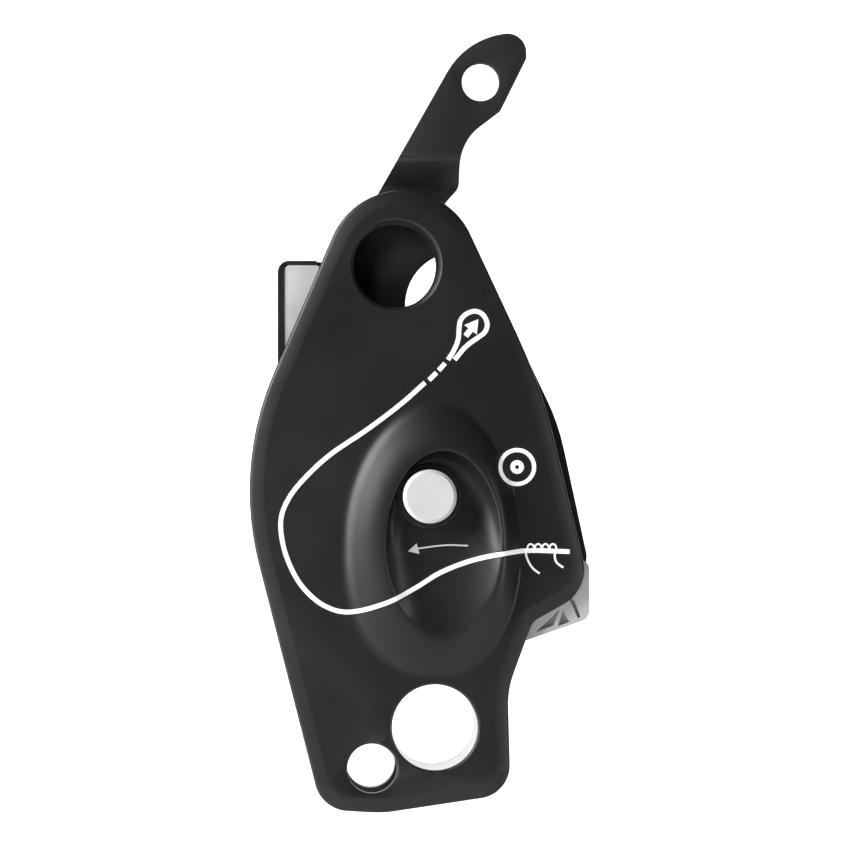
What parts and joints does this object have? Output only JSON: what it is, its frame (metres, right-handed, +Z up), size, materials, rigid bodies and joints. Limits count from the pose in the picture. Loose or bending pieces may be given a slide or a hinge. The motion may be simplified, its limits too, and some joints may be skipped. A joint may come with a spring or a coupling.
{
  "type": "self-braking rope descender",
  "caption": "Self-braking rope descender with a swinging front plate, karabiner eye, push-button catch, rope cam between the plates and a cranked release lever behind.",
  "frame": {"origin": "centre of the karabiner eye, midway between the side plates", "axes": "+Z up towards the lever's end, +Y towards the back plate and the lever's pivot side, +X to the right of the front plate"},
  "size_m": [0.0924, 0.0371, 0.2118],
  "materials": {
    "black_anodised": "black anodised, satin, fine blasted grain",
    "lever_black": "black coated steel, satin",
    "cast_stainless": "cast stainless steel, tumbled",
    "turned_steel": "turned steel, plated",
    "tube_steel": "turned stainless steel",
    "button_silver": "bead blasted, clear anodised",
    "bronze": "sintered bronze",
    "spring_steel": "bright spring wire"
  },
  "bodies": {
    "frame": {"back_plate": "black_anodised", "eye_tube": "tube_steel", "eye_snap_ring": "spring_steel", "spacer_post": "turned_steel", "spacer_screw": "turned_steel", "rope_shoe": "cast_stainless", "shoe_rivets": "turned_steel", "friction_guide": "cast_stainless", "guide_screws": "turned_steel", "main_axle": "turned_steel", "lever_sleeve": "turned_steel", "axle_washer": "turned_steel", "axle_nut": "turned_steel", "lever_stop_pins": "turned_steel", "cam_spring": "spring_steel"},
    "front_cover": {"front_plate": "black_anodised", "plate_dome": "black_anodised", "button_bush": "black_anodised"},
    "button": {"release_button": "button_silver", "button_spring": "spring_steel", "button_clip": "spring_steel"},
    "cam": {"cam": "cast_stainless", "cam_bush": "bronze"},
    "lever": {"lever_arm": "lever_black", "lever_bush": "bronze", "drive_pin": "turned_steel"}
  },
  "joints": [
    {"name": "cover_swing", "type": "hinge", "parent": "frame", "child": "front_cover", "pos_m": [0, 0, 0], "axis": [0, -1, 0], "range_deg": [0, 100]},
    {"name": "button_press", "type": "slide", "parent": "front_cover", "child": "button", "axis": [0, 1, 0], "range_m": [0, 0.002], "stiffness_N_per_m": 800, "springref_m": -0.003, "deforming": ["button_spring"]},
    {"name": "lever_pull", "type": "hinge", "parent": "frame", "child": "lever", "pos_m": [-0.0016, 0, 0.0626], "axis": [0, -1, 0], "range_deg": [0, 70], "stiffness_Nm_per_rad": 0.05, "springref_deg": -34.38, "deforming": ["cam_spring"]},
    {"name": "cam_turn", "type": "hinge", "parent": "frame", "child": "cam", "pos_m": [-0.0016, 0, 0.0626], "axis": [0, -1, 0], "range_deg": [0, 28]}
  ],
  "couplings": [
    {"joint": "cam_turn", "follows": "lever_pull", "ratio": 0.4}
  ]
}
